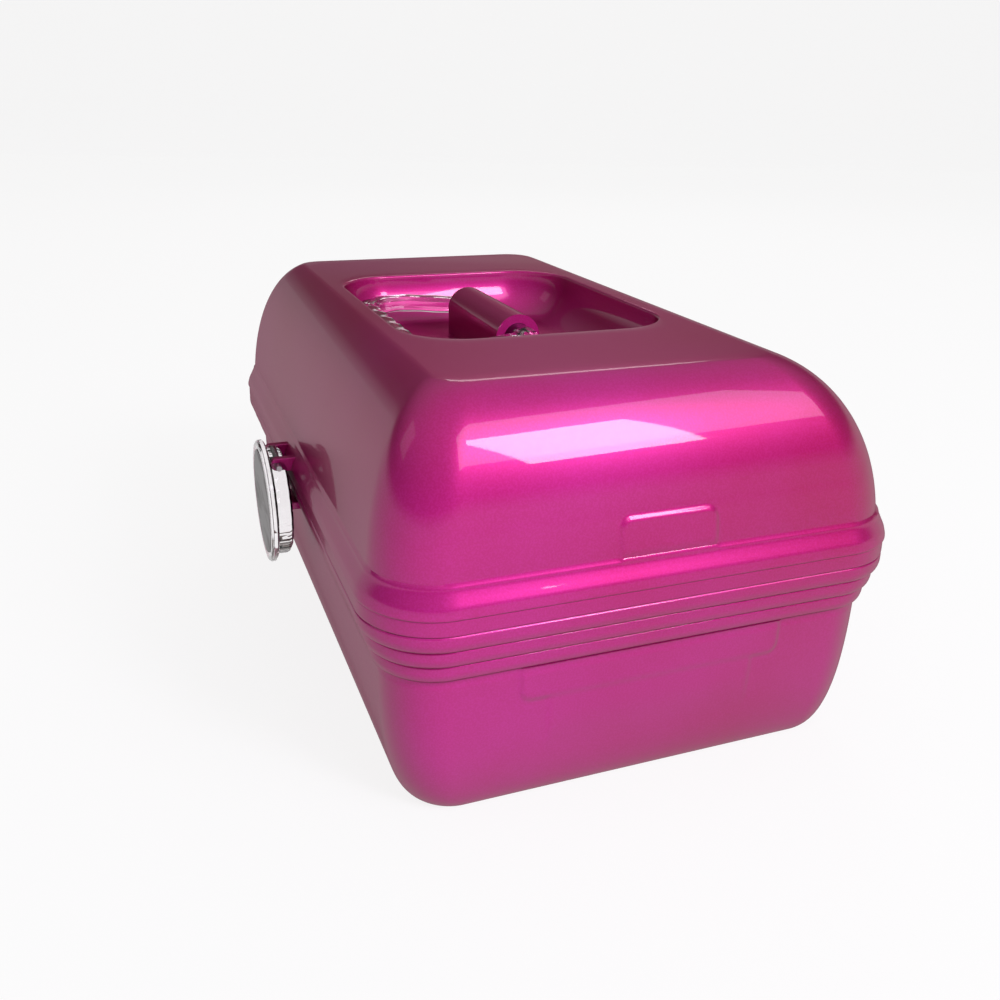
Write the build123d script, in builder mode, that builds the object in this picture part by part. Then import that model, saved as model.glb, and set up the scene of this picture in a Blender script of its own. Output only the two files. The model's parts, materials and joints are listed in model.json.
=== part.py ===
from build123d import *

import os
from math import cos, radians, sin

# A hard-shell make-up case: a base and a domed lid hinged along the back, a clear round
# latch in front, a clear handle that folds into a bowl in the lid, and two trays that the
# lid lifts up and back on swinging arms.
# Millimetres. +X is the case's length, -Y is the front with the latch, +Z is up, and the
# origin is the middle of the flat underside.

# ---------------------------------------------------------------- shells
case_length = 338.0  # over the rim, end to end
case_depth = 221.0  # over the rim, front to back
base_height = 83.5  # underside to the parting line
lid_height = 78.5  # parting line to the flat top
wall = 2.2  # moulded wall of both shells
rim_corner = 30.0  # plan radius of the rim's corners
dome_power = 2.17  # shape of the walls' curve, 2 is an ellipse
dome_angle = 77.0  # degrees of the curve used, where it meets the flat at a soft crease
curve_steps = 7

lid_overhang = 4.0  # how far the rim stands out from the lid's wall
lid_reach_x = 30.5  # wall to the edge of the flat top, at the ends
lid_reach_front = 29.5  # the same at the front
lid_reach_back = 47.5  # the same at the back, where the wall leans in further
lid_crease_corner = 12.0
lid_band = 6.0  # upright band just above the parting line
lid_band_inset = 0.6
lid_band_draft = 0.1
flare_height = 11.0  # from the band up to where the wall runs free

band_count = 3  # stepped bands under the parting line
band_pitch = 7.2
band_step = 2.4
base_inset = 0.3
base_reach_x = 8.0  # wall to the edge of the underside, at the ends
base_reach_y = 13.0  # the same, at front and back
base_crease_corner = 16.0
base_dome_power = 2.6
base_dome_angle = 80.0
rim_thickness = 5.2

panel_relief = 0.6  # raised panels on both ends
lid_panel_half = 19.7
lid_panel_top = 32.5  # above the parting line
base_panel_half = 55.0
base_panel_drop = 36.0  # below the parting line
base_stem_half = 43.6
base_stem_drop = 60.0
panel_corner = 4.0

# ---------------------------------------------------------------- handle
bowl_half_x = 75.0
bowl_half_y = 60.0
bowl_corner = 28.0
bowl_depth = 23.0
bowl_reach = 16.0  # lip to the edge of the bowl's floor
bowl_floor_corner = 14.0
bowl_dome_power = 2.0
bowl_dome_angle = 84.0
barrel_radius = 10.4
barrel_length = 70.0
barrel_sink = 10.8  # axis below the flat top
rod_radius = 6.5
grip_reach = 51.5  # rod to the grip's centre line
grip_half = 69.0
arm_root = 41.5  # where an arm leaves the rod
grip_corner = 20.0
grip_width = 10.0
grip_thickness = 9.0
grip_edge = 2.6
rod_overrun = 4.0
handle_screw_radius = 1.2
handle_screw_x = 22.0
handle_screw_head = 2.6
handle_screw_head_height = 1.2
handle_screw_bite = 3.5  # above the barrel's axis

# ---------------------------------------------------------------- latch
latch_radius = 29.0
latch_body_radius = 25.8
latch_drop = 11.2  # centre below the parting line
latch_gap = 2.0  # back of the knob to the rim
latch_body_thickness = 7.5
latch_rim_thickness = 3.4
latch_face_radius = 24.6
latch_face_thickness = 1.5
latch_pin_radius = 1.25
latch_pin_rise = 10.0  # above the parting line
latch_pin_depth = 3.9  # in front of the knob's back
ear_radius = 3.2
ear_width = 4.0
ear_x = 10.0
ear_clearance = 0.4
snap_half = 9.0
snap_drop = 14.0
snap_height = 4.0
snap_proud = 1.0
snap_clearance = 0.3

# ---------------------------------------------------------------- hinge
knuckle_radius = 3.0
hinge_pin_radius = 1.5
hinge_offset = 0.2  # axis behind the rim
hinge_x = 90.0
knuckle_width = 12.0
knuckle_gap = 0.3
lid_knuckle_width = 25.0
knuckle_clearance = 0.5

# ---------------------------------------------------------------- trays and their arms
running = 0.06  # radial clearance of everything that turns on a pin
side_gap = 0.3  # between plates that slide past each other
plate = 2.5
rivet_radius = 2.0
rivet_head = 3.4
rivet_tail = 2.8
rivet_head_height = 1.2
boss_radius = 5.0
boss_root = 1.0  # how far a boss or a rivet stops short of its wall's outside
rivet_root = 2.0
arm_half_width = 6.0
link_half_width = 5.0
tray_end_room = 21.5  # tray's end to the rim's
tray_front_room = 18.5
tray_rear_room = 30.5
tray_corner = 12.0
tray_wall = 1.6
lower_tray_drop = 35.5  # lower tray's bottom below the parting line
lower_tray_height = 21.7
tray_stack_gap = 0.8
upper_tray_height = 25.5
arm_pivot_room = 48.5  # rear arm's pivot in the base, in front of the rim's back
arm_pivot_drop = 13.5  # below the parting line
arm_spacing = 74.0  # rear arm to front arm
lower_arm = 32.0  # pivot to the lower tray
lower_arm_angle = -20.0  # above level, pointing to the front
upper_arm = 58.0
upper_arm_angle = 5.0
upper_dividers = 2
lower_dividers = 1

# ---------------------------------------------------------------- mirror
mirror_half_x = 92.0
mirror_half_y = 58.0
mirror_corner = 12.0
mirror_thickness = 1.9
mirror_back = 1.5
mirror_lip = 4.0

# ---------------------------------------------------------------- places worked out from these
half_x = case_length / 2
half_y = case_depth / 2
parting = base_height
top = base_height + lid_height
bowl_floor = top - bowl_depth
bowl_under = bowl_floor - wall
barrel_z = top - barrel_sink
screw_y = (rod_radius + barrel_radius) / 2
bowl_y = (lid_reach_front - lid_reach_back) / 2  # the bowl sits in the middle of the flat top
barrel_span = (bowl_y - barrel_radius, bowl_y + barrel_radius)
screw_places = [(x, bowl_y + y) for x in (-handle_screw_x, handle_screw_x) for y in (-screw_y, screw_y)]
lid_reaches = (lid_reach_x, lid_reach_front, lid_reach_back)
base_reaches = (base_reach_x, base_reach_y, base_reach_y)
bands = band_count * band_pitch
base_wall_inset = base_inset + band_count * band_step + 0.3
hinge_y = half_y + hinge_offset
latch_back = -half_y - latch_gap
latch_front = latch_back - latch_body_thickness - latch_rim_thickness
latch_z = parting - latch_drop
pin_y = latch_back - latch_pin_depth
pin_z = parting + latch_pin_rise
tray_half_x = half_x - tray_end_room
tray_front = tray_front_room - half_y
tray_rear = half_y - tray_rear_room
lower_tray_bottom = parting - lower_tray_drop
arm_pivot_y = half_y - arm_pivot_room
upper_tray_bottom = lower_tray_bottom + lower_tray_height + tray_stack_gap
link_in = tray_half_x + boss_radius / 2
link_out = link_in + plate
arm_in = link_out + side_gap
arm_out = arm_in + plate


def reach(length, angle):
    """A step of that length towards the front and up by the angle, as (y, z)."""
    return (-length * cos(radians(angle)), length * sin(radians(angle)))


arm_z = parting - arm_pivot_drop
lower_step = reach(lower_arm, lower_arm_angle)
upper_step = reach(upper_arm, upper_arm_angle)
arm_roots = {"rear": (arm_pivot_y, arm_z), "front": (arm_pivot_y - arm_spacing, arm_z)}
lower_pivots = {n: (y + lower_step[0], z + lower_step[1]) for n, (y, z) in arm_roots.items()}
upper_pivots = {n: (y + upper_step[0], z + upper_step[1]) for n, (y, z) in arm_roots.items()}
lid_pivot = (hinge_y + upper_step[0], parting + upper_step[1])
sides = {"right": 1, "left": -1}


def dome(rise, inset, reaches, corners, power=dome_power, end=dome_angle):
    """Levels of a wall that curves in as it rises: (height, inset at the ends, front and back, corner)."""
    levels = []
    for step in range(curve_steps + 1):
        turn = radians(end) * step / curve_steps
        up = (sin(turn) / sin(radians(end))) ** (2 / power)
        across = (1 - cos(turn) ** (2 / power)) / (1 - cos(radians(end)) ** (2 / power))
        corner = corners[0] + (corners[1] - corners[0]) * across
        levels.append((rise * up, *[inset + reach * across for reach in reaches], corner))
    return levels


def stack(start, direction, levels, outline=(half_x, half_y), middle=0.0, mode=Mode.ADD, ruled=False):
    """Loft rounded rectangles that lie inside an outline about a middle, up or down from a start."""
    sections = []
    for height, inset_x, inset_front, inset_back, corner in levels:
        with BuildSketch(Plane.XY.offset(start + direction * height)) as section:
            with Locations((0, middle + (inset_front - inset_back) / 2)):
                RectangleRounded(2 * (outline[0] - inset_x), 2 * outline[1] - inset_front - inset_back, corner)
        sections.append(section.sketch.face())
    loft(sections, ruled=ruled, mode=mode)


def bar_x(x_from, x_to, y, z, radius, mode=Mode.ADD):
    """A round bar along X."""
    with BuildSketch(Plane.YZ.offset(x_from)) as disc:
        with Locations((y, z)):
            Circle(radius)
    extrude(disc.sketch, amount=x_to - x_from, mode=mode)


def block(x_span, y_span, z_span, mode=Mode.ADD):
    """A box between the given limits."""
    with Locations((sum(x_span) / 2, sum(y_span) / 2, sum(z_span) / 2)):
        Box(x_span[1] - x_span[0], y_span[1] - y_span[0], z_span[1] - z_span[0], mode=mode)


def rim_levels(points):
    """Levels of a rim whose corners stay concentric as it steps in."""
    return [(height, inset, inset, inset, rim_corner - inset) for height, inset in points]


def knuckle_spans(side):
    """Where the hinge's three knuckles lie along X: two of the base, one of the lid."""
    middle = side * hinge_x
    inner = lid_knuckle_width / 2
    outer = inner + knuckle_gap
    base = [(middle - outer - knuckle_width, middle - outer), (middle + outer, middle + outer + knuckle_width)]
    return base, (middle - inner, middle + inner)


def finish(piece, name):
    """Name the piece and write it out."""
    piece.part.label = name
    export_step(piece.part, f"parts/{name}.step")


os.makedirs("parts", exist_ok=True)

lid_corners = (rim_corner - lid_overhang, lid_crease_corner)
base_corners = (rim_corner - base_wall_inset, base_crease_corner)
base_rise = parting - bands

# ---------------------------------------------------------------- raised end panels
with BuildPart() as lid_panels:
    stack(parting, 1, dome(lid_height, lid_overhang - panel_relief, lid_reaches, lid_corners))
    with BuildSketch(Plane.YZ):
        with Locations((0, parting + lid_panel_top / 2)):
            RectangleRounded(2 * lid_panel_half, lid_panel_top, panel_corner)
    extrude(amount=half_x, both=True, mode=Mode.INTERSECT)

with BuildPart() as base_panels:
    stack(parting - bands, -1, dome(base_rise, base_wall_inset - panel_relief, base_reaches,
                                    base_corners, base_dome_power, base_dome_angle))
    with BuildSketch(Plane.YZ):
        with Locations((0, parting - base_panel_drop / 2)):
            RectangleRounded(2 * base_panel_half, base_panel_drop, panel_corner)
        with Locations((0, parting - base_stem_drop / 2)):
            RectangleRounded(2 * base_stem_half, base_stem_drop, panel_corner)
    extrude(amount=half_x, both=True, mode=Mode.INTERSECT)

# ---------------------------------------------------------------- base shell
with BuildPart() as base_shell:
    stack(parting - bands, -1, dome(base_rise, base_wall_inset, base_reaches,
                                    base_corners, base_dome_power, base_dome_angle))
    add(base_panels.part)
    for band in range(band_count):
        inset = base_inset + band * band_step
        stack(parting - band * band_pitch, -1, rim_levels([
            (0, inset), (0.62 * band_pitch, inset + 0.1 * band_step),
            (0.88 * band_pitch, inset + 0.45 * band_step), (band_pitch, inset + band_step)]), ruled=True)
    # the hollow: a throat inside the bands, and below it the wall's own curve
    stack(parting, -1, rim_levels([(0, rim_thickness), (band_pitch, rim_thickness),
                                   (bands, base_wall_inset + wall)]), mode=Mode.SUBTRACT, ruled=True)
    stack(parting - bands, -1, dome(base_rise - wall, base_wall_inset + wall, base_reaches,
                                    (base_corners[0] - wall, base_corners[1] - wall),
                                    base_dome_power, base_dome_angle), mode=Mode.SUBTRACT)
    for side in sides.values():
        base_spans, lid_span = knuckle_spans(side)
        bar_x(lid_span[0] - knuckle_gap, lid_span[1] + knuckle_gap, hinge_y, parting,
              knuckle_radius + knuckle_clearance, mode=Mode.SUBTRACT)
        for span in base_spans:
            bar_x(*span, hinge_y, parting, knuckle_radius)
            bar_x(*span, hinge_y, parting, hinge_pin_radius, mode=Mode.SUBTRACT)
        for y, z in arm_roots.values():
            bar_x(side * (arm_out + side_gap), side * (half_x - rim_thickness - boss_root), y, z, boss_radius)
            bar_x(side * (arm_out + side_gap), side * (half_x - rim_thickness - rivet_root), y, z, rivet_radius,
                  mode=Mode.SUBTRACT)
    # the bead that the latch snaps over
    block((-snap_half, snap_half), (latch_back + snap_proud + snap_clearance, rim_thickness - half_y),
          (parting - snap_drop, parting - snap_drop + snap_height))
finish(base_shell, "base_shell")

# ---------------------------------------------------------------- lid shell
with BuildPart() as lid_shell:
    stack(parting, 1, dome(lid_height, lid_overhang, lid_reaches, lid_corners))
    add(lid_panels.part)
    stack(parting, 1, rim_levels([(0, lid_band_inset), (lid_band, lid_band_inset - lid_band_draft)]), ruled=True)
    stack(parting + lid_band, 1, rim_levels([
        (0, 0), (0.2 * flare_height, 0.05 * lid_overhang), (0.45 * flare_height, 0.35 * lid_overhang),
        (0.75 * flare_height, 0.75 * lid_overhang), (flare_height, lid_overhang)]), ruled=True)
    stack(parting, 1, dome(lid_height - wall, lid_overhang + wall, lid_reaches,
                           (lid_corners[0] - wall, lid_corners[1] - wall)), mode=Mode.SUBTRACT)
    # the bowl for the handle: its skin below the flat top, then its hollow
    bowl_levels = dome(bowl_depth, 0, 3 * [bowl_reach], (bowl_corner, bowl_floor_corner),
                       bowl_dome_power, bowl_dome_angle)
    skin_levels = dome(bowl_depth + wall, 0, 3 * [bowl_reach],
                       (bowl_corner + wall, bowl_floor_corner + wall), bowl_dome_power, bowl_dome_angle)
    stack(top, -1, skin_levels, (bowl_half_x + wall, bowl_half_y + wall), bowl_y)
    stack(top, -1, bowl_levels, (bowl_half_x, bowl_half_y), bowl_y, mode=Mode.SUBTRACT)
    # the saddle under the handle's rod
    block((-barrel_length / 2, barrel_length / 2), barrel_span, (bowl_under, barrel_z))
    bar_x(-barrel_length, barrel_length, bowl_y, barrel_z, rod_radius + running, mode=Mode.SUBTRACT)
    with Locations(*[(x, y, (bowl_under + barrel_z) / 2) for x, y in screw_places]):
        Cylinder(handle_screw_radius, barrel_z - bowl_under, mode=Mode.SUBTRACT)
    for side in sides.values():
        base_spans, lid_span = knuckle_spans(side)
        for span in base_spans:
            bar_x(span[0] - knuckle_gap, span[1] + knuckle_gap, hinge_y, parting,
                  knuckle_radius + knuckle_clearance, mode=Mode.SUBTRACT)
        bar_x(*lid_span, hinge_y, parting, knuckle_radius)
        bar_x(*lid_span, hinge_y, parting, hinge_pin_radius + running, mode=Mode.SUBTRACT)
        bar_x(side * (link_out + side_gap), side * (half_x - lid_overhang - boss_root), *lid_pivot,
              lid_pivot[1] - parting - side_gap)
        bar_x(side * (link_out + side_gap), side * (half_x - lid_overhang - rivet_root), *lid_pivot, rivet_radius,
              mode=Mode.SUBTRACT)
        # the latch's two ears
        ear = (side * ear_x - ear_width / 2, side * ear_x + ear_width / 2)
        block(ear, (pin_y, -half_y + lid_overhang + wall / 2), (pin_z - ear_radius, pin_z + ear_radius))
        bar_x(*ear, pin_y, pin_z, ear_radius)
        bar_x(*ear, pin_y, pin_z, latch_pin_radius, mode=Mode.SUBTRACT)
finish(lid_shell, "lid_shell")

# ---------------------------------------------------------------- hinge pins
for side_name, side in sides.items():
    base_spans, lid_span = knuckle_spans(side)
    with BuildPart() as hinge_pin:
        bar_x(base_spans[0][0], base_spans[1][1], hinge_y, parting, hinge_pin_radius)
    finish(hinge_pin, f"hinge_pin_{side_name}")

# ---------------------------------------------------------------- handle
with BuildPart() as handle_loop:
    with BuildLine(Plane.XY.offset(barrel_z)) as grip_path:
        FilletPolyline((arm_root, bowl_y), (grip_half, bowl_y - grip_reach), (-grip_half, bowl_y - grip_reach),
                       (-arm_root, bowl_y), radius=grip_corner)
    with BuildSketch(Plane(grip_path.line @ 0, z_dir=grip_path.line % 0)):
        RectangleRounded(grip_thickness, grip_width, grip_edge)
    sweep(path=grip_path.line)
    bar_x(-arm_root - rod_overrun, arm_root + rod_overrun, bowl_y, barrel_z, rod_radius)
finish(handle_loop, "handle_loop")

with BuildPart() as handle_barrel_cap:
    bar_x(-barrel_length / 2, barrel_length / 2, bowl_y, barrel_z, barrel_radius)
    block((-barrel_length, barrel_length), barrel_span, (barrel_z - barrel_radius, barrel_z), mode=Mode.SUBTRACT)
    bar_x(-barrel_length, barrel_length, bowl_y, barrel_z, rod_radius + running, mode=Mode.SUBTRACT)
    with Locations(*[(x, y, barrel_z + handle_screw_bite / 2) for x, y in screw_places]):
        Cylinder(handle_screw_radius, handle_screw_bite, mode=Mode.SUBTRACT)
finish(handle_barrel_cap, "handle_barrel_cap")

with BuildPart() as handle_screws:
    shank = barrel_z + handle_screw_bite - bowl_under
    with Locations(*[(x, y, bowl_under + shank / 2) for x, y in screw_places]):
        Cylinder(handle_screw_radius, shank)
    with Locations(*[(x, y, bowl_under - handle_screw_head_height / 2) for x, y in screw_places]):
        Cylinder(handle_screw_head, handle_screw_head_height)
finish(handle_screws, "handle_screws")

# ---------------------------------------------------------------- latch
with BuildPart() as latch_body:
    with BuildSketch(Plane.XZ.offset(-latch_back)):
        with Locations((0, latch_z)):
            Circle(latch_body_radius)
    extrude(amount=latch_body_thickness)
    with BuildSketch(Plane.XZ.offset(-latch_back + latch_body_thickness)):
        with Locations((0, latch_z)):
            Circle(latch_radius)
    extrude(amount=latch_rim_thickness)
    with BuildSketch(Plane.XZ.offset(-latch_front)):
        with Locations((0, latch_z)):
            Circle(latch_face_radius)
    extrude(amount=-latch_face_thickness, mode=Mode.SUBTRACT)
    for side in sides.values():
        half_slot = ear_width / 2 + ear_clearance
        block((side * ear_x - half_slot, side * ear_x + half_slot),
              (pin_y - ear_radius - ear_clearance, latch_back),
              (pin_z - ear_radius - ear_clearance, latch_z + latch_radius), mode=Mode.SUBTRACT)
    bar_x(-latch_radius, latch_radius, pin_y, pin_z, latch_pin_radius + running, mode=Mode.SUBTRACT)
    block((-snap_half, snap_half), (latch_back, latch_back + snap_proud),
          (parting - snap_drop - snap_height - snap_clearance, parting - snap_drop - snap_clearance))
finish(latch_body, "latch_body")

with BuildPart() as latch_face:
    with BuildSketch(Plane.XZ.offset(-latch_front)):
        with Locations((0, latch_z)):
            Circle(latch_face_radius)
    extrude(amount=-latch_face_thickness)
finish(latch_face, "latch_face")

with BuildPart() as latch_pin:
    pin_reach = ear_x + ear_width / 2 + ear_clearance + 4
    bar_x(-pin_reach, pin_reach, pin_y, pin_z, latch_pin_radius)
finish(latch_pin, "latch_pin")

# ---------------------------------------------------------------- mirror
mirror_z = bowl_under - mirror_back - mirror_thickness
with BuildPart() as mirror_frame:
    with BuildSketch(Plane.XY.offset(mirror_z)):
        with Locations((0, bowl_y)):
            RectangleRounded(2 * (mirror_half_x + mirror_lip), 2 * (mirror_half_y + mirror_lip),
                             mirror_corner + mirror_lip)
    extrude(amount=mirror_thickness + mirror_back)
    with BuildSketch(Plane.XY.offset(mirror_z)):
        with Locations((0, bowl_y)):
            RectangleRounded(2 * mirror_half_x, 2 * mirror_half_y, mirror_corner)
    extrude(amount=mirror_thickness, mode=Mode.SUBTRACT)
    with Locations(*[(x, y, bowl_under - mirror_back / 2) for x, y in screw_places]):
        Cylinder(handle_screw_head + 0.6, mirror_back, mode=Mode.SUBTRACT)
finish(mirror_frame, "mirror_frame")

with BuildPart() as mirror_glass:
    with BuildSketch(Plane.XY.offset(mirror_z)):
        with Locations((0, bowl_y)):
            RectangleRounded(2 * mirror_half_x, 2 * mirror_half_y, mirror_corner)
    extrude(amount=mirror_thickness)
finish(mirror_glass, "mirror_glass")


# ---------------------------------------------------------------- trays
def tray(bottom, height, dividers, pivots, boss_ends):
    """A tray with cross walls, and a bored boss at each end for every pivot."""
    length, depth = 2 * tray_half_x, tray_rear - tray_front
    middle = (tray_front + tray_rear) / 2
    with BuildSketch(Plane.XY.offset(bottom)) as outline:
        with Locations((0, middle)):
            RectangleRounded(length, depth, tray_corner)
    extrude(outline.sketch, amount=height)
    pitch = (length - tray_wall) / (dividers + 1)
    with BuildSketch(Plane.XY.offset(bottom + tray_wall)) as rooms:
        with Locations((0, middle)):
            RectangleRounded(length - 2 * tray_wall, depth - 2 * tray_wall, tray_corner - tray_wall)
            with Locations(*[(pitch * (n - (dividers - 1) / 2), 0) for n in range(dividers)]):
                Rectangle(tray_wall, depth, mode=Mode.SUBTRACT)
    extrude(rooms.sketch, amount=height - tray_wall, mode=Mode.SUBTRACT)
    for side in sides.values():
        for name, (y, z) in pivots.items():
            bar_x(side * tray_half_x, side * boss_ends[name], y, z, boss_radius)
            bar_x(side * (tray_half_x - tray_wall), side * boss_ends[name], y, z, rivet_radius,
                  mode=Mode.SUBTRACT)


def rivets(pivots):
    """Rivets through a tray's end walls and what turns on them, headed on both sides."""
    inner = tray_half_x - tray_wall
    for side in sides.values():
        for y, z in pivots.values():
            bar_x(side * inner, side * (arm_out + side_gap), y, z, rivet_radius)
            bar_x(side * (inner - rivet_head_height), side * inner, y, z, rivet_tail)
            bar_x(side * (arm_out + side_gap), side * (arm_out + side_gap + rivet_head_height), y, z, rivet_head)


with BuildPart() as lower_tray:
    tray(lower_tray_bottom, lower_tray_height, lower_dividers, lower_pivots,
         {"rear": arm_in - side_gap, "front": arm_in - side_gap})
finish(lower_tray, "lower_tray")

with BuildPart() as upper_tray:
    tray(upper_tray_bottom, upper_tray_height, upper_dividers, upper_pivots,
         {"rear": link_in - side_gap, "front": arm_in - side_gap})
finish(upper_tray, "upper_tray")

with BuildPart() as lower_tray_rivets:
    rivets(lower_pivots)
finish(lower_tray_rivets, "lower_tray_rivets")

with BuildPart() as upper_tray_rivets:
    rivets(upper_pivots)
finish(upper_tray_rivets, "upper_tray_rivets")

# ---------------------------------------------------------------- arms, links and their rivets
for side_name, side in sides.items():
    for arm_name in arm_roots:
        points = [arm_roots[arm_name], lower_pivots[arm_name], upper_pivots[arm_name]]
        with BuildPart() as swing_arm:
            with BuildSketch(Plane.YZ.offset(side * arm_in)):
                with Locations(*points):
                    Circle(arm_half_width)
                make_hull()
                with Locations(*points):
                    Circle(rivet_radius + running, mode=Mode.SUBTRACT)
            extrude(amount=side * plate)
        finish(swing_arm, f"{arm_name}_arm_{side_name}")
    points = [upper_pivots["rear"], lid_pivot]
    with BuildPart() as drive_link:
        with BuildSketch(Plane.YZ.offset(side * link_in)):
            with Locations(*points):
                Circle(link_half_width)
            make_hull()
            with Locations(*points):
                Circle(rivet_radius + running, mode=Mode.SUBTRACT)
        extrude(amount=side * plate)
    finish(drive_link, f"drive_link_{side_name}")

with BuildPart() as base_pivot_rivets:
    for side in sides.values():
        for y, z in arm_roots.values():
            bar_x(side * (arm_in - side_gap), side * (half_x - rim_thickness - rivet_root), y, z, rivet_radius)
            bar_x(side * (arm_in - side_gap - rivet_head_height), side * (arm_in - side_gap), y, z, rivet_head)
finish(base_pivot_rivets, "base_pivot_rivets")

with BuildPart() as lid_link_rivets:
    for side in sides.values():
        bar_x(side * (link_in - side_gap), side * (half_x - lid_overhang - rivet_root), *lid_pivot, rivet_radius)
        bar_x(side * (link_in - side_gap - rivet_head_height), side * (link_in - side_gap), *lid_pivot,
              rivet_head)
finish(lid_link_rivets, "lid_link_rivets")
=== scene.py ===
import json
import math

import bmesh
import bpy
import numpy as np
from bpy.props import FloatProperty, FloatVectorProperty, IntProperty, PointerProperty
from mathutils import Matrix, Vector


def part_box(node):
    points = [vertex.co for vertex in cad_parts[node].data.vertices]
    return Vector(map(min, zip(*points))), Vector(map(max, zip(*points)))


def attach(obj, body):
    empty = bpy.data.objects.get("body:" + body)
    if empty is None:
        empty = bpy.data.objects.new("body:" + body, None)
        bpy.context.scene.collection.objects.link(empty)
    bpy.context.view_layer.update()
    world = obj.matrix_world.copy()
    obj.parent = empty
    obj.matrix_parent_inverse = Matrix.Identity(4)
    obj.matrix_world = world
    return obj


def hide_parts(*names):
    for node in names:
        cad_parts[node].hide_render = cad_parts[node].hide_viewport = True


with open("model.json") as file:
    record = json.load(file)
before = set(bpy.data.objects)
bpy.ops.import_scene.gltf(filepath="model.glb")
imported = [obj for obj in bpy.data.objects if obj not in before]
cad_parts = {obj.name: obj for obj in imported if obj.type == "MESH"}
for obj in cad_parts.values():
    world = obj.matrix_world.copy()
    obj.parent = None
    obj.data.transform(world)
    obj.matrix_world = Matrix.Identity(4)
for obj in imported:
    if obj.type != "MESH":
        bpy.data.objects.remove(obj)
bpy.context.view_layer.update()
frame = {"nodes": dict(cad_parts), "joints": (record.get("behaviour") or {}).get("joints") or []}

bl_info = {
    "name": "Hard-shell make-up case",
    "version": (1, 0, 0),
    "blender": (4, 5, 0),
    "location": "View3D > Sidebar > Case",
    "description": "Dresses the packed make-up case: shells, handle, latch and finishes",
    "category": "Object",
}

MM = 0.001

# ------------------------------------------------------------------ places read from the frame
HINGE_LOW, HINGE_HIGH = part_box("hinge_pin_left")
LID_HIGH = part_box("lid_shell")[1]
CAP_LOW, CAP_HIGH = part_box("handle_barrel_cap")
LOOP_LOW, LOOP_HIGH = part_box("handle_loop")
KNOB_LOW, KNOB_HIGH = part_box("latch_body")
FACE_LOW, FACE_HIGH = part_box("latch_face")

PIN_RADIUS = (HINGE_HIGH[2] - HINGE_LOW[2]) / 2
PARTING = (HINGE_HIGH[2] + HINGE_LOW[2]) / 2
HINGE_Y = (HINGE_HIGH[1] + HINGE_LOW[1]) / 2
HALF_X = LID_HIGH[0]
HALF_Y = HINGE_Y - 0.2 * MM
TOP = LID_HIGH[2]
BARREL_Z = CAP_LOW[2]
BARREL_RADIUS = (CAP_HIGH[1] - CAP_LOW[1]) / 2
BOWL_Y = (CAP_HIGH[1] + CAP_LOW[1]) / 2
ROD_RADIUS = (LOOP_HIGH[2] - LOOP_LOW[2]) / 2
LATCH_BACK = KNOB_HIGH[1] - 1.0 * MM
LATCH_Z = (FACE_LOW[2] + FACE_HIGH[2]) / 2


def middle_yz(low, high):
    """Centre of a box in the YZ plane."""
    return float(low[1] + high[1]) / 2, float(low[2] + high[2]) / 2


# ------------------------------------------------------------------ what a user would change
def length(name, description, default):
    """A length, or one for each of several sides."""
    if isinstance(default, tuple):
        return FloatVectorProperty(
            name=name, description=description, size=len(default), default=default, unit="LENGTH")
    return FloatProperty(name=name, description=description, default=default, unit="LENGTH")


def paint(name, description, default):
    """A colour in linear light."""
    return FloatVectorProperty(name=name, description=description, subtype="COLOR", size=3, default=default)


class ShellSizes(bpy.types.PropertyGroup):
    """Sizes of the two moulded shells."""

    wall: length("Wall", "Thickness of the shells", 2.2 * MM)
    rim_corner: length("Rim corner", "Plan radius of the rim's corners", 30 * MM)
    overhang: length("Overhang", "How far the rim stands out from the lid's wall", 4 * MM)
    lid_reach: length("Lid reach", "Wall to the flat top's edge, at the ends, the front and the back",
                      (30.5 * MM, 29.5 * MM, 47.5 * MM))
    lid_crease_corner: length("Flat top corner", "Plan radius of the flat top's corners", 12 * MM)
    base_reach: length("Base reach", "Wall to the underside's edge, at the ends, the front and the back",
                       (8 * MM, 13 * MM, 13 * MM))
    base_crease_corner: length("Underside corner", "Plan radius of the underside", 16 * MM)
    band_pitch: length("Band height", "Height of each stepped band", 7.2 * MM)
    band_step: length("Band step", "How far each band lies inside the one above", 2.4 * MM)
    bands: IntProperty(name="Bands", description="Stepped bands under the parting line", default=3)
    relief: length("Panel relief", "How proud the end panels stand", 0.85 * MM)


class BowlSizes(bpy.types.PropertyGroup):
    """Sizes of the bowl that the handle folds into."""

    half: length("Half size", "Half length and half depth at the lip", (75 * MM, 60 * MM))
    corner: length("Lip corner", "Plan radius at the lip", 28 * MM)
    depth: length("Depth", "Lip to floor", 23 * MM)
    reach: length("Reach", "Lip to the floor's edge", 16 * MM)
    floor_corner: length("Floor corner", "Plan radius of the floor", 14 * MM)


class Finishes(bpy.types.PropertyGroup):
    """Colours of the case."""

    pearl: paint("Pearl", "Body colour of the shells", (0.45, 0.002, 0.095))
    # the pearl glow colour is a painted sheen: the lilac lustre of the window's light on the pearl, put into the
    # colour
    pearl_painted_sheen: paint("Pearl painted sheen", "Lilac lustre that faces the eye", (0.86, 0.06, 0.60))
    clear: paint("Clear plastic", "Tint of the latch and handle", (0.97, 0.94, 0.96))
    tray: paint("Tray plastic", "Colour of the trays", (0.72, 0.10, 0.33))
    arm: paint("Arm plastic", "Colour of the swinging arms", (0.80, 0.72, 0.77))
    steel: paint("Steel", "Colour of pins and rivets", (0.56, 0.56, 0.58))


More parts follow.
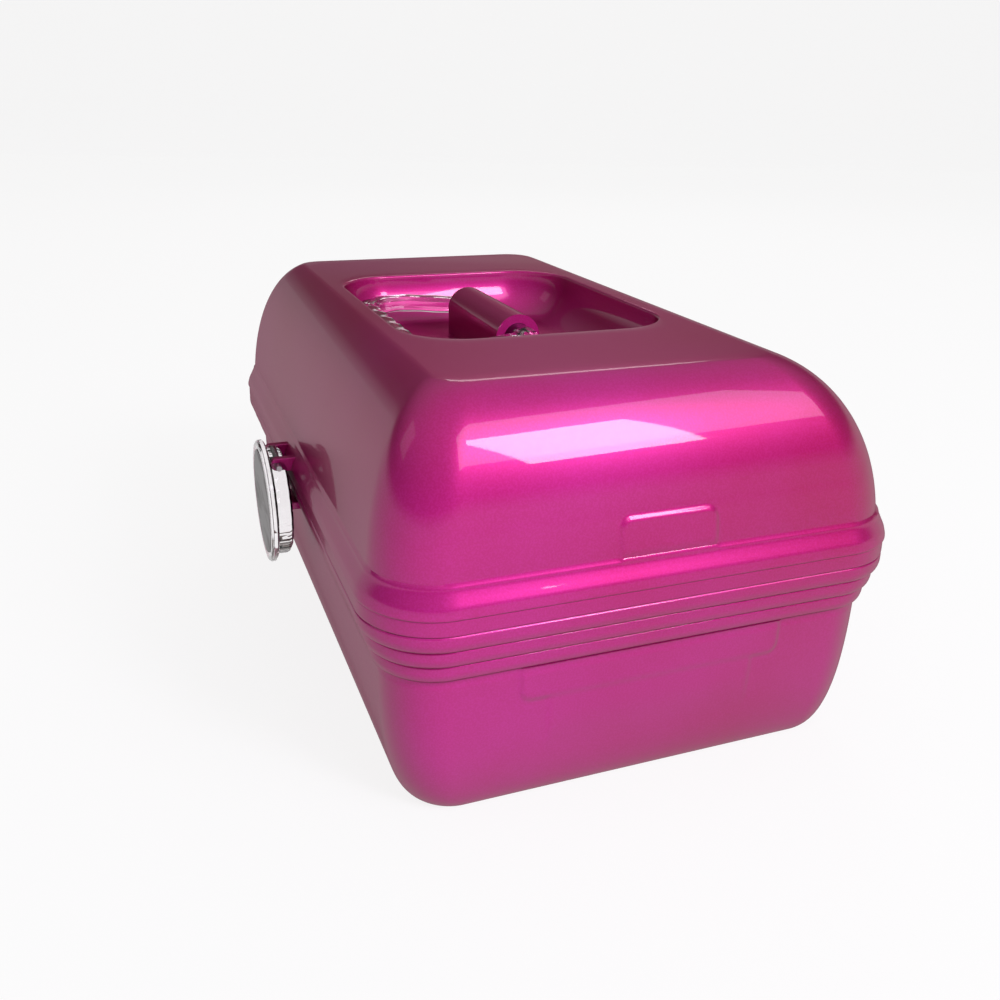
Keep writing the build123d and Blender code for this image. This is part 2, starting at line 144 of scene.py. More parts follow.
# ------------------------------------------------------------------ surfaces
def case_columns(straight_x, straight_y, arc=20):
    """Columns round a rounded rectangle, as (across x, across y, normal x, normal y).

    A point is across * (half size - corner radius) + normal * corner radius, so the same
    columns serve every level of a shell. straight_x and straight_y are the fractions, from
    -1 to 1, where columns stand on the long and on the short sides."""
    turn = np.linspace(0, np.pi / 2, arc + 2)[1:-1]
    parts = []
    for start in range(4):
        angle = turn + start * np.pi / 2
        side = np.asarray(straight_y if start % 2 == 0 else straight_x)
        normal = (math.cos(start * math.pi / 2), math.sin(start * math.pi / 2))
        along = (-normal[1], normal[0])
        ones = np.ones_like(side)
        parts.append(np.stack([normal[0] * ones + along[0] * side, normal[1] * ones + along[1] * side,
                               normal[0] * ones, normal[1] * ones], axis=1))
        ones = np.ones_like(turn)
        parts.append(np.stack([(normal[0] + along[0]) * ones, (normal[1] + along[1]) * ones,
                               np.cos(angle), np.sin(angle)], axis=1))
    return np.concatenate(parts)


def rings(levels, columns):
    """Points of a shell: levels are rows of (height, inset at the ends, front and back, corner radius)."""
    height, inset_x, inset_front, inset_back, corner = np.asarray(levels).T[:, :, None]
    across_x, across_y, normal_x, normal_y = columns.T[:, None, :]
    x = across_x * (HALF_X - inset_x - corner) + normal_x * corner
    y = across_y * (HALF_Y - (inset_front + inset_back) / 2 - corner) + normal_y * corner
    y = y + (inset_front - inset_back) / 2
    return np.stack([x, y, np.broadcast_to(height, x.shape)], axis=2)


def soften(points, radius, steps=4):
    """Round a profile's corners: each becomes a curve that starts and ends a radius away."""
    points = np.asarray(points, float)
    out = [points[:1]]
    t = np.linspace(0, 1, steps + 1)[:, None]
    for before, corner, after in zip(points[:-2], points[1:-1], points[2:]):
        to_before, to_after = before - corner, after - corner
        near = min(radius, 0.45 * np.linalg.norm(to_before)) / max(np.linalg.norm(to_before), 1e-9)
        far = min(radius, 0.45 * np.linalg.norm(to_after)) / max(np.linalg.norm(to_after), 1e-9)
        start, end = corner + to_before * near, corner + to_after * far
        out.append((1 - t) ** 2 * start + 2 * t * (1 - t) * corner + t**2 * end)
    out.append(points[-1:])
    return np.concatenate(out)


def dome_levels(start, rise, inset, reach, corners, power, end, rows):
    """A wall that curves in as it rises: height goes as sin to 2/power, inset as 1 - cos to 2/power."""
    turn = np.linspace(0, math.radians(end), rows)
    up = (np.sin(turn) / math.sin(math.radians(end))) ** (2 / power)
    across = (1 - np.cos(turn) ** (2 / power)) / (1 - math.cos(math.radians(end)) ** (2 / power))
    insets = [inset + part * across for part in reach]
    return np.stack([start + rise * up, *insets, corners[0] + (corners[1] - corners[0]) * across], axis=1)


def rim_rows(points, corner):
    """Levels of a rim from (inset, height) points, with corners that stay concentric."""
    inset, height = np.asarray(points).T
    return np.stack([height, inset, inset, inset, corner - inset], axis=1)


def flat_rows(first, last, rows):
    """Levels that run straight from one level to another, ends left out."""
    t = np.linspace(0, 1, rows + 2)[1:-1, None]
    return np.asarray(first) * (1 - t) + np.asarray(last) * t


def ring_mesh(grid):
    """Vertices and faces of rings joined round and from first to last, open at both ends."""
    rows, columns = grid.shape[:2]
    index = np.arange(rows * columns).reshape(rows, columns)
    right = np.roll(index, -1, axis=1)
    quads = np.stack([index[:-1], right[:-1], right[1:], index[1:]], axis=2).reshape(-1, 4)
    return grid.reshape(-1, 3), quads.tolist()


def shell_mesh(grid):
    """Vertices and faces of rings joined into a closed skin, with a pole at each end."""
    points, faces = ring_mesh(grid)
    columns = grid.shape[1]
    first = np.arange(columns)
    last = first + len(points) - columns
    low = np.stack([np.full(columns, len(points)), np.roll(first, -1), first], axis=1)
    high = np.stack([np.full(columns, len(points) + 1), last, np.roll(last, -1)], axis=1)
    poles = [points, grid[0].mean(axis=0)[None], grid[-1].mean(axis=0)[None]]
    return np.concatenate(poles), faces + low.tolist() + high.tolist()


def turned(profile, centre, axis, sides=48):
    """A profile of (radius, distance along the axis) turned about an axis through a centre."""
    profile = np.asarray(profile, float)
    angle = np.linspace(0, 2 * np.pi, sides, endpoint=False)
    frame_x, frame_y, frame_z = {"X": ((0, 1, 0), (0, 0, 1), (1, 0, 0)), "Y": ((0, 0, 1), (1, 0, 0), (0, 1, 0)),
                                 "Z": ((1, 0, 0), (0, 1, 0), (0, 0, 1))}[axis]
    radius, along = profile[:, 0][:, None, None], profile[:, 1][:, None, None]
    ring = np.cos(angle)[:, None] * np.array(frame_x) + np.sin(angle)[:, None] * np.array(frame_y)
    return np.asarray(centre) + radius * ring[None] + along * np.array(frame_z)


def block_grid(low, high, edge):
    """Rings of a box with small rounded edges, stacked along X."""
    low, high = np.asarray(low, float), np.asarray(high, float)
    middle, half = (low + high) / 2, (high - low) / 2
    turn = np.linspace(0, np.pi / 2, 4)
    around = np.concatenate([turn + k * np.pi / 2 for k in range(4)])
    corner = np.repeat(np.array([(1, 1), (-1, 1), (-1, -1), (1, -1)]), 4, axis=0)
    lift = np.concatenate([-half[0] + edge * (1 - np.cos(turn)), half[0] - edge * (1 - np.cos(turn[::-1]))])
    inset = np.concatenate([edge * (1 - np.sin(turn)), edge * (1 - np.sin(turn[::-1]))])
    grid = np.zeros((len(lift), len(around), 3))
    grid[:, :, 1] = corner[:, 0] * (half[1] - edge) + np.cos(around) * (edge - inset[:, None])
    grid[:, :, 2] = corner[:, 1] * (half[2] - edge) + np.sin(around) * (edge - inset[:, None])
    grid[:, :, 0] = lift[:, None]
    return grid + middle


def rod_profile(radius, start, end, edge=0.3 * MM):
    """Profile of a plain rod with eased ends, for turned()."""
    return [(radius * 0.02, start), (radius - edge, start), (radius, start + edge), (radius, end - edge),
            (radius - edge, end), (radius * 0.02, end)]


def make_piece(name, meshes, smooth_angle=35):
    """One object from several (vertices, faces), facing out, smooth but for sharp edges."""
    vertices, faces, start = [], [], 0
    for points, polygons in meshes:
        vertices.append(points)
        faces.extend([[start + i for i in polygon] for polygon in polygons])
        start += len(points)
    mesh = bpy.data.meshes.new(name)
    mesh.from_pydata(np.concatenate(vertices).tolist(), [], faces)
    joined = bmesh.new()
    joined.from_mesh(mesh)
    bmesh.ops.remove_doubles(joined, verts=joined.verts, dist=0.000005)
    bmesh.ops.recalc_face_normals(joined, faces=joined.faces)
    joined.to_mesh(mesh)
    joined.free()
    mesh.validate()
    mesh.shade_smooth()
    mesh.set_sharp_from_angle(angle=math.radians(smooth_angle))
    piece = bpy.data.objects.new(name, mesh)
    bpy.context.scene.collection.objects.link(piece)
    return piece


def rounded_box_distance(u, v, centre, half, corner):
    """Signed distance in a plane to a rectangle with rounded corners, negative inside."""
    du = np.abs(u - centre[0]) - (half[0] - corner)
    dv = np.abs(v - centre[1]) - (half[1] - corner)
    outside = np.hypot(np.maximum(du, 0), np.maximum(dv, 0))
    return outside + np.minimum(np.maximum(du, dv), 0) - corner


def ramp(value, low, high):
    """A smooth step from 0 at low to 1 at high."""
    t = np.clip((value - low) / (high - low), 0, 1)
    return t * t * (3 - 2 * t)


# the hinge: knuckle radius, room round it, length of the lid's and the base's knuckles, gap between them
KNUCKLE, KNUCKLE_CLEAR = 3.0 * MM, 0.5 * MM
LID_KNUCKLE, BASE_KNUCKLE, KNUCKLE_GAP = 25 * MM, 12 * MM, 0.3 * MM


def notch(points, spans):
    """Push a rim's back edge forward where the other shell's knuckles turn."""
    x, y, z = points[..., 0], points[..., 1], points[..., 2]
    inside = np.zeros(x.shape, bool)
    for low, high in spans:
        inside |= (x > low - KNUCKLE_GAP) & (x < high + KNUCKLE_GAP)
    radius = KNUCKLE + KNUCKLE_CLEAR
    up = z - PARTING
    reach = np.sqrt(np.maximum(radius**2 - up**2, 0))
    hit = inside & (np.abs(up) < radius) & (y > HINGE_Y - reach)
    points[..., 1] = np.where(hit, HINGE_Y - reach, y)
    return points


def knuckle_spans():
    """Where the knuckles of both hinges lie along X: the base's, two to a hinge, and the lid's, one."""
    inner = LID_KNUCKLE / 2
    outer = inner + KNUCKLE_GAP
    base, lid = [], []
    for side in ("left", "right"):
        low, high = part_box(f"hinge_pin_{side}")
        middle = float((low[0] + high[0]) / 2)
        base += [(middle - outer - BASE_KNUCKLE, middle - outer), (middle + outer, middle + outer + BASE_KNUCKLE)]
        lid.append((middle - inner, middle + inner))
    return base, lid


def shell_columns(sizes):
    """Columns of both shells: close together on the end walls and at the hinge's notches."""
    long_half = HALF_X - sizes.rim_corner
    base, lid = knuckle_spans()
    marks = [edge + gap * MM for low, high in base + lid
             for edge, gap in ((low, -0.4), (low, -0.2), (high, 0.2), (high, 0.4))]
    even = np.linspace(-long_half, long_half, 70)
    straight_x = np.unique(np.concatenate([even, marks])) / long_half
    straight_y = np.linspace(-1, 1, 170)
    return case_columns(straight_x, straight_y)


# ------------------------------------------------------------------ shells
# each wall's curve: the power of its superellipse and the degrees of it that are used
LID_POWER, LID_END = 2.17, 77.0
BASE_POWER, BASE_END = 2.6, 80.0
BOWL_POWER, BOWL_END = 2.0, 84.0

LID_BAND = 6 * MM  # upright band just above the parting line
FLARE_TOP = PARTING + 17 * MM  # where the wall runs free of the flare
RIM_THICKNESS = 5.2 * MM
BASE_INSET = 0.3 * MM  # the base's rim inside the lid's
LIP_RADIUS = 1.3 * MM  # roll of the bowl's lip

# the raised end panels: half width, half height, height of the middle above the parting line, corner
LID_PANEL = (19.7 * MM, 24.5 * MM, 8 * MM, 4.5 * MM)
BASE_PANEL = (55 * MM, 20 * MM, -16 * MM, 4.5 * MM)
BASE_STEM = (43.6 * MM, 31 * MM, -31 * MM, 6 * MM)
PANEL_ENDS = 25 * MM  # how far in from each end the panels may reach


def lid_surface(sizes, bowl):
    """The lid's skin, one profile from the bowl's floor out, down to the rim, and back inside."""
    wall, corner = sizes.wall, sizes.rim_corner
    outer_corners = (corner - sizes.overhang, sizes.lid_crease_corner)
    outer = dome_levels(PARTING, TOP - PARTING, sizes.overhang, sizes.lid_reach, outer_corners,
                        LID_POWER, LID_END, 110)
    inner_corners = (outer_corners[0] - wall, outer_corners[1] - wall)
    inner = dome_levels(PARTING, TOP - PARTING - wall, sizes.overhang + wall, sizes.lid_reach, inner_corners,
                        LID_POWER, LID_END, 40)
    band_top = PARTING + LID_BAND
    flare = soften([
        (0.9 * MM, PARTING), (0.35 * MM, PARTING + 0.5 * MM), (0.55 * MM, band_top - 0.5 * MM),
        (0.75 * MM, band_top), (0.0, band_top + 0.45 * MM), (0.05 * MM, band_top + 1.6 * MM),
        (0.9 * MM, band_top + 4.4 * MM), (2.5 * MM, band_top + 7.4 * MM), (3.6 * MM, band_top + 9.6 * MM),
        (sizes.overhang, FLARE_TOP)], 0.9 * MM)
    to_middle = np.array([HALF_X, HALF_Y + BOWL_Y, HALF_Y - BOWL_Y])  # insets that end in the bowl's middle
    lip_inset = to_middle - np.array(bowl.half)[[0, 1, 1]]

    def bowl_rows(depth, grow, rows):
        levels = dome_levels(0, depth, 0, 3 * [bowl.reach],
                             (bowl.corner + grow, bowl.floor_corner + grow), BOWL_POWER, BOWL_END, rows)
        levels[:, 0] = TOP - levels[:, 0]
        levels[:, 1:4] += lip_inset - grow
        return levels

    well = bowl_rows(bowl.depth, 0, 30)
    skin = bowl_rows(bowl.depth + wall, wall, 20)
    rolled = np.array([(TOP - LIP_RADIUS * (1 - math.cos(a)) * 0.9, *(lip_inset - LIP_RADIUS * (1 - math.sin(a))),
                        bowl.corner + LIP_RADIUS * (1 - math.sin(a))) for a in np.linspace(0, math.pi / 2, 7)])
    well = well[well[:, 0] < rolled[-1][0] - 0.2 * MM]
    centre = to_middle - 2 * MM
    floor = np.array([[well[-1, 0], *centre, 1.5 * MM]])
    under = np.array([[skin[-1, 0], *centre, 1.5 * MM]])
    out_rows = outer[outer[:, 0] > FLARE_TOP + 0.3 * MM]
    # ease the flat top's edge: the wall's last rows sink, and one more row follows on the flat
    pulled = out_rows[-1].copy()
    pulled[1:4] += 1.2 * MM
    out_rows[-3:, 0] -= np.array([0.0, 0.04, 0.16]) * MM
    in_rows = inner[inner[:, 0] > FLARE_TOP]
    inner_rim = rim_rows([(RIM_THICKNESS, PARTING), (RIM_THICKNESS + 0.4 * MM, band_top)], corner)
    outside = [floor, flat_rows(floor[0], well[-1], 5), well[::-1], rolled[::-1],
               flat_rows(rolled[0], pulled, 7), pulled[None], out_rows[::-1], rim_rows(flare[::-1], corner)]
    inside = [inner_rim, in_rows, flat_rows(in_rows[-1], skin[0], 5), skin, flat_rows(skin[-1], under[0], 3), under]
    return np.concatenate(outside + inside), sum(len(rows) for rows in outside)


def panel_distance(y, z, panel):
    """Signed distance in the end walls' plane to one of the raised panels."""
    half_width, half_height, middle, corner = panel
    return rounded_box_distance(y, z, (0, PARTING + middle), (half_width, half_height), corner)


def raise_ends(grid, count_out, height):
    """Push the skin's outer rows out along X by a height, on the two ends only."""
    x = grid[:count_out, :, 0]
    grid[:count_out, :, 0] += np.where(np.abs(x) > HALF_X - PANEL_ENDS, np.sign(x) * height, 0)


def dress_lid(sizes, bowl):
    """Points of the lid with the end panels raised and the hinge's notches pushed in."""
    levels, count_out = lid_surface(sizes, bowl)
    grid = rings(levels, shell_columns(sizes))
    y, z = grid[:count_out, :, 1], grid[:count_out, :, 2]
    raised = 1 - ramp(panel_distance(y, z, LID_PANEL), -1.1 * MM, 0.8 * MM)
    above_flare = ramp(z, PARTING + 15.5 * MM, PARTING + 21 * MM)
    raise_ends(grid, count_out, sizes.relief * raised * above_flare)
    base_knuckles, _ = knuckle_spans()
    return notch(grid, base_knuckles)


def base_surface(sizes):
    """The base's skin, from the middle of the underside out and up to the rim and back inside."""
    wall, corner = sizes.wall, sizes.rim_corner
    pitch, step = sizes.band_pitch, sizes.band_step
    bands_low = PARTING - sizes.bands * pitch
    wall_inset = BASE_INSET + sizes.bands * step + 0.3 * MM
    corners = (corner - wall_inset, sizes.base_crease_corner)
    outer = dome_levels(0, bands_low, wall_inset, sizes.base_reach, corners, BASE_POWER, BASE_END, 90)
    outer[:, 0] = bands_low - outer[:, 0]
    inner_corners = (corners[0] - wall, corners[1] - wall)
    inner = dome_levels(0, bands_low - wall, wall_inset + wall, sizes.base_reach, inner_corners,
                        BASE_POWER, BASE_END, 30)
    inner[:, 0] = bands_low - inner[:, 0]
    outline = [(wall_inset + 0.5 * MM, bands_low - 0.9 * MM)]
    for band in range(sizes.bands - 1, -1, -1):
        high = PARTING - band * pitch
        inset = BASE_INSET + band * step
        outline += [(inset + step + 0.5 * MM, high - pitch + 0.05 * MM), (inset + 0.62 * step, high - 0.93 * pitch),
                    (inset + 0.24 * step, high - 0.78 * pitch), (inset, high - 0.5 * pitch),
                    (inset + 0.02 * MM, high - 0.5 * MM), (inset + 0.5 * MM, high)]
    bands = soften(outline, 0.8 * MM)
    throat = rim_rows([(RIM_THICKNESS, PARTING), (RIM_THICKNESS, PARTING - pitch), (wall_inset + wall, bands_low)],
                      corner)
    centre = np.array([HALF_X, HALF_Y, HALF_Y]) - 6 * MM
    under = np.array([[0.0, *centre, 4 * MM]])
    floor = np.array([[wall, *centre, 4 * MM]])
    # ease the underside's edge in the same way
    outer[-3:, 0] += np.array([0.0, 0.02, 0.12]) * MM
    foot = outer[-1].copy()
    foot[1:4] += 0.8 * MM
    foot[0] = 0
    rows = outer[outer[:, 0] < outline[0][1] - 0.2 * MM]
    below = [under, flat_rows(under[0], foot, 4), foot[None], rows[::-1]]
    levels = np.concatenate([*below, rim_rows(bands, corner), throat, inner[1:],
                             flat_rows(inner[-1], floor[0], 4), floor])
    # the panels also lift the first rows of the lowest band, which would else leave a ledge
    return levels, sum(len(part) for part in below) + int(np.sum(bands[:, 1] < bands_low + 0.4 * MM))


def dress_base(sizes):
    """Points of the base with the end panels raised and the hinge's notches pushed in."""
    levels, count_out = base_surface(sizes)
    grid = rings(levels, shell_columns(sizes))
    y, z = grid[:count_out, :, 1], grid[:count_out, :, 2]
    stem = 0.55 * (1 - ramp(panel_distance(y, z, BASE_STEM), -1.2 * MM, 0.9 * MM))
    stem *= ramp(z, PARTING - 62 * MM, PARTING - 44 * MM)
    wide = 1 - ramp(panel_distance(y, z, BASE_PANEL), -1.1 * MM, 0.8 * MM)
    raise_ends(grid, count_out, np.maximum(stem, wide) * sizes.relief)
    _, lid_knuckles = knuckle_spans()
    return notch(grid, lid_knuckles)


def knuckle_meshes(spans):
    """Round knuckles along the hinge, bored for the pin."""
    bore, edge = PIN_RADIUS + 0.06 * MM, 0.3 * MM
    meshes = []
    for low, high in spans:
        outline = [(bore, low), (KNUCKLE - edge, low), (KNUCKLE, low + edge), (KNUCKLE, high - edge),
                   (KNUCKLE - edge, high), (bore, high), (bore, low)]
        meshes.append(ring_mesh(turned(outline, (0, HINGE_Y, PARTING), "X", 32)))
    return meshes


# ------------------------------------------------------------------ node groups and materials
def feed(tree, node, values):
    """Link sockets to a node's inputs, set the other inputs to plain values, and return the outputs."""
    for label, value in values.items():
        if isinstance(value, bpy.types.NodeSocket):
            tree.links.new(value, node.inputs[label])
        else:
            node.inputs[label].default_value = value
    return node.outputs


def add_node(tree, kind, values, **settings):
    """Place a node, set it up and feed it."""
    node = tree.nodes.new(kind)
    for label, value in settings.items():
        setattr(node, label, value)
    return feed(tree, node, values)


def mapped(tree, value, low, high, to_low, to_high):
    """A value taken from one range to another, held at the ends."""
    return add_node(tree, "ShaderNodeMapRange", {
        "Value": value, "From Min": low, "From Max": high, "To Min": to_low, "To Max": to_high})["Result"]


def maths(tree, operation, *given, clamp=False):
    """One step of arithmetic on sockets or numbers."""
    return add_node(tree, "ShaderNodeMath", dict(enumerate(given)), operation=operation, use_clamp=clamp)["Value"]


def mixed(tree, factor, first, second):
    """The first colour at factor 0, the second at 1."""
    return add_node(tree, "ShaderNodeMix", {"Factor": factor, "A": first, "B": second}, data_type="RGBA")["Result"]


def noise(tree, place, scale, detail, roughness=0.5):
    """Noise at a place, as one value."""
    return add_node(tree, "ShaderNodeTexNoise", {
        "Vector": place, "Scale": scale, "Detail": detail, "Roughness": roughness})["Fac"]


def bumped(tree, height, strength, distance):
    """A normal that follows a height."""
    return add_node(tree, "ShaderNodeBump", {
        "Strength": strength, "Distance": distance, "Height": height})["Normal"]


def new_group(name, inputs, outputs):
    """A shader node group, with inputs given as (name, type, default) and outputs as (name, type)."""
    group = bpy.data.node_groups.new(name, "ShaderNodeTree")
    for label, kind, default in inputs:
        socket = group.interface.new_socket(name=label, in_out="INPUT", socket_type=kind)
        socket.default_value = default
    for label, kind in outputs:
        group.interface.new_socket(name=label, in_out="OUTPUT", socket_type=kind)
    return group, group.nodes.new("NodeGroupInput").outputs, group.nodes.new("NodeGroupOutput")


def pearl_group():
    """Fine pearl flake and slow flow clouds that mix a painted lilac sheen into the body: a colour, a roughness and
    a height.
    """
    group, given, result = new_group(
        "pearl_lustre",
        [("Body", "NodeSocketColor", (0.6, 0.02, 0.2, 1)), ("Painted Sheen", "NodeSocketColor", (0.8, 0.2, 0.5, 1)),
         ("Flake Size", "NodeSocketFloat", 900.0), ("Cloud Size", "NodeSocketFloat", 9.0),
         ("Roughness", "NodeSocketFloat", 0.3)],
        [("Color", "NodeSocketColor"), ("Roughness", "NodeSocketFloat"), ("Height", "NodeSocketFloat")])
    place = add_node(group, "ShaderNodeTexCoord", {})["Object"]
    flake = noise(group, place, given["Flake Size"], 2.0)
    cloud = noise(group, place, given["Cloud Size"], 3.0, 0.45)
    sparkle = mapped(group, flake, 0.42, 0.62, 0.0, 0.09)
    drift = mapped(group, cloud, 0.3, 0.7, 0.05, 0.4)
    # how much painted sheen shows, laid out at random by the flakes and the flow clouds
    share = maths(group, "ADD", sparkle, drift, clamp=True)
    feed(group, result, {
        "Color": mixed(group, share, given["Body"], given["Painted Sheen"]),
        "Roughness": maths(group, "MULTIPLY_ADD", sparkle, 0.25, given["Roughness"]),
        "Height": cloud})
    return group


def wear_group():
    """Faint scuffs and dust for handled plastic and metal: a mask and a height."""
    group, given, result = new_group(
        "handling_marks",
        [("Scale", "NodeSocketFloat", 60.0), ("Amount", "NodeSocketFloat", 0.3)],
        [("Mask", "NodeSocketFloat"), ("Height", "NodeSocketFloat")])
    place = add_node(group, "ShaderNodeTexCoord", {})["Object"]
    stretched = add_node(group, "ShaderNodeMapping", {"Vector": place, "Scale": (1.0, 0.25, 3.0)})["Vector"]
    marks = noise(group, stretched, given["Scale"], 6.0)
    feed(group, result, {"Mask": mapped(group, marks, 0.5, 0.75, 0.0, given["Amount"]), "Height": marks})
    return group


def new_material(name):
    """A material, its node tree and its Principled BSDF."""
    material = bpy.data.materials.new(name)
    material.use_nodes = True
    return material, material.node_tree, material.node_tree.nodes["Principled BSDF"]


def pearl_material(name, finishes, groups):
    """Pearlescent moulded plastic under a clear gloss, with a painted lilac sheen; away from the eye its colour
    darkens to a painted shade and it loses the gloss.
    """
    material, tree, shader = new_material(name)
    lustre = add_node(tree, "ShaderNodeGroup", {
        "Body": (*finishes.pearl, 1), "Painted Sheen": (*finishes.pearl_painted_sheen, 1), "Flake Size": 1400.0,
        "Cloud Size": 7.0, "Roughness": 0.36}, node_tree=groups["pearl"])
    facing = add_node(tree, "ShaderNodeLayerWeight", {"Blend": 0.5})["Facing"]
    # painted shade: the colour turns dark where the surface faces away from the eye
    grazing_shade = (*[0.28 * c for c in finishes.pearl], 1)
    gloss = mapped(tree, facing, 0.35, 0.9, 0.95, 0.04)
    feed(tree, shader, {
        "Base Color": mixed(tree, facing, lustre["Color"], grazing_shade),
        "Roughness": lustre["Roughness"],
        "Metallic": 0.3,
        "Specular IOR Level": maths(tree, "MULTIPLY", gloss, 0.4),
        "Specular Tint": (0.95, 0.25, 0.5, 1),
        "Coat Weight": gloss,
        "Coat Roughness": 0.03,
        "Coat IOR": 1.35,
        "Normal": bumped(tree, lustre["Height"], 0.05, 0.002)})
    return material


def handling_marks(tree, groups, scale, amount):
    """The shared marks at a scale and strength."""
    return add_node(tree, "ShaderNodeGroup", {"Scale": scale, "Amount": amount}, node_tree=groups["wear"])


def clear_material(name, finishes, groups):
    """Clear moulded plastic with faint handling marks."""
    material, tree, shader = new_material(name)
    marks = handling_marks(tree, groups, 70.0, 0.08)
    feed(tree, shader, {
        "Base Color": (*finishes.clear, 1), "Transmission Weight": 1.0, "IOR": 1.49, "Roughness": marks["Mask"],
        "Normal": bumped(tree, marks["Height"], 0.05, 0.001)})
    return material


def worn_material(name, colours, marks, rough, bump):
    """A finish whose colour and roughness change where it is marked.

    colours are the plain and the marked one, rough the plain roughness and what full marks add."""
    material, tree, shader = new_material(name)
    worn = handling_marks(tree, *marks)
    plain, marked = ((*colour, 1) for colour in colours)
    feed(tree, shader, {
        "Base Color": mixed(tree, worn["Mask"], plain, marked),
        "Roughness": maths(tree, "MULTIPLY_ADD", worn["Mask"], rough[1], rough[0]),
        "Normal": bumped(tree, worn["Height"], *bump)})
    return material, tree, shader


def plain_plastic(name, colour, groups, rough=0.25, coat=0.4, level=0.5):
    """Moulded plastic with slow colour drift and faint marks."""
    paler = [min(1, c * 1.18 + 0.02) for c in colour]
    material, tree, shader = worn_material(
        name, (colour, paler), (groups, 45.0, 0.35), (rough, 0.4), (0.08, 0.0008))
    feed(tree, shader, {"Coat Weight": coat, "Specular IOR Level": level})
    return material


def metal_material(name, colour, groups):
    """Plain steel with drawn marks."""
    darker = [c * 0.8 for c in colour]
    material, tree, shader = worn_material(
        name, (colour, darker), (groups, 240.0, 0.4), (0.28, 0.3), (0.1, 0.0003))
    feed(tree, shader, {"Metallic": 1.0})
    return material


def mirror_material(groups):
    """Silvered glass."""
    material, tree, shader = new_material("mirror_finish")
    feed(tree, shader, {"Base Color": (0.86, 0.88, 0.89, 1), "Metallic": 1.0,
                        "Roughness": handling_marks(tree, groups, 30.0, 0.06)["Mask"]})
    return material


def dress(piece, material):
    """Give an object one material in every slot."""
    if not piece.material_slots:
        piece.data.materials.append(material)
    for slot in piece.material_slots:
        slot.material = material


def shared_groups():
    """The node groups, built once."""
    found = bpy.data.node_groups
    return {"pearl": found.get("pearl_lustre") or pearl_group(), "wear": found.get("handling_marks") or wear_group()}


def shared_material(context, name, build):
    """A finish by name, built the first time it is asked for."""
    return bpy.data.materials.get(name) or build(name, context.scene.case_finishes, shared_groups())


def dress_pearl(context, piece):
    """Give an object the pearl finish of the shells."""
    dress(piece, shared_material(context, "pearl_finish", pearl_material))


def dress_clear(context, piece):
    """Give an object the clear finish of the handle and the latch."""
    dress(piece, shared_material(context, "clear_finish", clear_material))


# ------------------------------------------------------------------ operators
# the block under the handle's rod reaches this far into the bowl's floor
SADDLE_SUNK = 0.5 * MM
# an ear of the latch: middle and half width along X, radius of its nose, root inside the lid's wall
EAR_MIDDLE, EAR_HALF, EAR_RADIUS, EAR_ROOT = 10 * MM, 2.0 * MM, 3.2 * MM, 5 * MM
# bosses: how far inside the rim's end they start, and radius; each stops clear of the piece that it faces
LID_BOSS, BASE_BOSS = (5.5 * MM, 4.75 * MM), (6.5 * MM, 5 * MM)
BOSS_CLEAR = 0.3 * MM
# corners and edge radius of the bead that the latch snaps over
BEAD_LOW = (-9 * MM, LATCH_BACK + 1.3 * MM, PARTING - 14 * MM)
BEAD_HIGH = (9 * MM, -HALF_Y + 6 * MM, PARTING - 10 * MM)
BEAD_EDGE = 0.6 * MM


class CASE_OT_lid(bpy.types.Operator):
    """Make the lid with its flare, end panels, bowl, saddle, ears and knuckles"""

    bl_idname = "case.lid"
    bl_label = "Lid"

    def execute(self, context):
        sizes, bowl = context.scene.case_shell, context.scene.case_bowl
        _, lid_knuckles = knuckle_spans()
        meshes = [shell_mesh(dress_lid(sizes, bowl)), saddle_mesh(TOP - bowl.depth - SADDLE_SUNK)]
        meshes += knuckle_meshes(lid_knuckles)
        link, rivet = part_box("drive_link_right"), middle_yz(*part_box("lid_link_rivets"))
        for side in (-1, 1):
            meshes.append(ear_mesh(side * EAR_MIDDLE, middle_yz(*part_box("latch_pin"))))
            meshes.append(boss_mesh(side, rivet, link, LID_BOSS))
        lid = make_piece("lid_surface", meshes)
        dress_pearl(context, lid)
        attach(lid, "lid")
        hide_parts("lid_shell")
        return {"FINISHED"}


class CASE_OT_base(bpy.types.Operator):
    """Make the base with its stepped bands, end panels, bosses, bead and knuckles"""

    bl_idname = "case.base"
    bl_label = "Base"

    def execute(self, context):
        sizes = context.scene.case_shell
        base_knuckles, _ = knuckle_spans()
        meshes = [shell_mesh(dress_base(sizes))] + knuckle_meshes(base_knuckles)
        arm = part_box("rear_arm_right")
        meshes += [boss_mesh(side, place, arm, BASE_BOSS) for side in (-1, 1) for place in arm_roots()]
        meshes.append(shell_mesh(block_grid(BEAD_LOW, BEAD_HIGH, BEAD_EDGE)))
        base = make_piece("base_surface", meshes)
        dress_pearl(context, base)
        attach(base, "base")
        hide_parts("base_shell")
        return {"FINISHED"}


def arm_roots():
    """The arms' pivots in the base, as (y, z), read from the joints."""
    return sorted({(j["pos_m"][1], j["pos_m"][2]) for j in frame["joints"] if "_arm_" in j["name"]})


def eased_ends(half, ease):
    """Places along a piece and how far its outline shrinks there, for eased ends."""
    return (-half, ease), (-half + ease, 0), (half - ease, 0), (half, ease)


